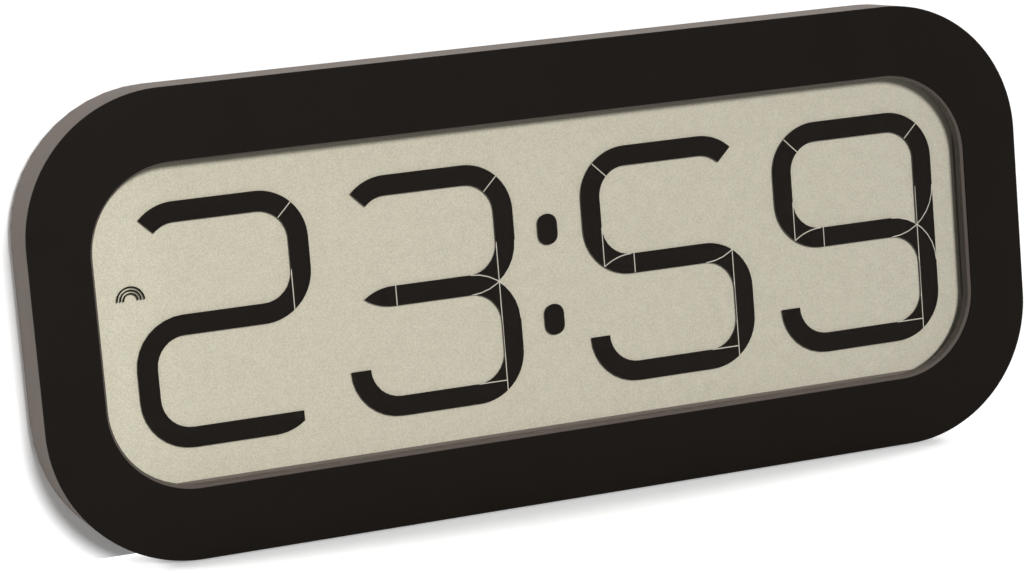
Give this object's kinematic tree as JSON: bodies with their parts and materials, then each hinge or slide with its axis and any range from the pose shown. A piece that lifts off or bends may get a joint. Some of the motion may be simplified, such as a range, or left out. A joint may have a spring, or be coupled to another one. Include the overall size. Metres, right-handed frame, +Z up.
{
  "type": "digital clock",
  "caption": "Flat digital clock with a rounded case, a large reflective display behind a bevelled window, fold-out stand legs and buttons on the back.",
  "frame": {"origin": "under the middle of the case, on the surface that the feet stand on", "axes": "+X to the right seen from the front, +Y from the face to the back, +Z up"},
  "size_m": [0.368, 0.028, 0.1608],
  "materials": {
    "case_grey": "fine satin texture",
    "face_black": "satin",
    "knob_black": "satin",
    "foot_rubber": "matt",
    "clear_window": "clear, polished",
    "display_glass": "clear, polished",
    "reflector": "fine grained pearl",
    "segment_black": "matt",
    "tray_plastic": "satin",
    "steel": "plated",
    "board_green": "lacquered",
    "chip_black": "satin",
    "ferrite": "matt",
    "copper": "enamelled wire",
    "cell_jacket": "gloss film",
    "wire_red": "smooth",
    "wire_black": "smooth"
  },
  "bodies": {
    "case": {"front_frame": "case_grey", "rear_cover": "case_grey", "face_panel": "face_black", "foot_left": "foot_rubber", "foot_right": "foot_rubber", "rubber_connector": "foot_rubber", "display_window": "clear_window", "lcd_front_glass": "display_glass", "lcd_rear_glass": "display_glass", "lcd_reflector": "reflector", "lcd_edge_seal": "tray_plastic", "lcd_holder": "tray_plastic", "digit_hours_tens": "segment_black", "digit_hours_units": "segment_black", "digit_minutes_tens": "segment_black", "digit_minutes_units": "segment_black", "colon_upper": "segment_black", "colon_lower": "segment_black", "antenna_clip": "tray_plastic", "ferrite_rod": "ferrite", "antenna_coil": "copper", "radio_board": "board_green", "holder_screw_left": "steel", "holder_screw_right": "steel", "board_screw_left": "steel", "board_screw_right": "steel", "main_board": "board_green", "driver_chip": "chip_black", "quartz_crystal": "steel", "buzzer": "chip_black", "slide_switch": "steel", "switch_mode": "chip_black", "switch_set": "chip_black", "switch_up": "chip_black", "switch_down": "chip_black", "contact_plate": "steel", "contact_spring": "steel", "battery_cell_left": "cell_jacket", "battery_cell_right": "cell_jacket", "battery_lead_positive": "wire_red", "battery_lead_negative": "wire_black", "stand_rod_left": "steel", "stand_rod_right": "steel", "rear_screw_upper_left": "steel", "rear_screw_upper_right": "steel", "rear_screw_lower_left": "steel", "rear_screw_lower_right": "steel", "rear_screw_upper_middle": "steel"},
    "stand_leg_left": {"stand_leg_left": "case_grey"},
    "stand_leg_right": {"stand_leg_right": "case_grey"},
    "battery_door": {"battery_door": "case_grey"},
    "button_mode": {"button_mode": "knob_black", "plunger_mode": "tray_plastic"},
    "button_set": {"button_set": "knob_black", "plunger_set": "tray_plastic"},
    "button_up": {"button_up": "knob_black", "plunger_up": "tray_plastic"},
    "button_down": {"button_down": "knob_black", "plunger_down": "tray_plastic"},
    "slide_knob": {"slide_knob": "knob_black"}
  },
  "joints": [
    {"name": "stand_left_hinge", "type": "hinge", "parent": "case", "child": "stand_leg_left", "pos_m": [-0.1, 0.0123, 0.078], "axis": [1, 0, 0], "range_deg": [0, 32]},
    {"name": "stand_right_hinge", "type": "hinge", "parent": "case", "child": "stand_leg_right", "pos_m": [0.1, 0.0123, 0.078], "axis": [1, 0, 0], "range_deg": [0, 32]},
    {"name": "battery_door_hinge", "type": "hinge", "parent": "case", "child": "battery_door", "pos_m": [0, 0.0122, 0.008], "axis": [-1, 0, 0], "range_deg": [0, 85]},
    {"name": "button_mode_press", "type": "slide", "parent": "case", "child": "button_mode", "axis": [0, -1, 0], "range_m": [0, 0.0006], "stiffness_N_per_m": 1500},
    {"name": "button_set_press", "type": "slide", "parent": "case", "child": "button_set", "axis": [0, -1, 0], "range_m": [0, 0.0006], "stiffness_N_per_m": 1500},
    {"name": "button_up_press", "type": "slide", "parent": "case", "child": "button_up", "axis": [0, -1, 0], "range_m": [0, 0.0006], "stiffness_N_per_m": 1500},
    {"name": "button_down_press", "type": "slide", "parent": "case", "child": "button_down", "axis": [0, -1, 0], "range_m": [0, 0.0006], "stiffness_N_per_m": 1500},
    {"name": "slide_knob_slide", "type": "slide", "parent": "case", "child": "slide_knob", "axis": [1, 0, 0], "range_m": [0, 0.003]}
  ]
}
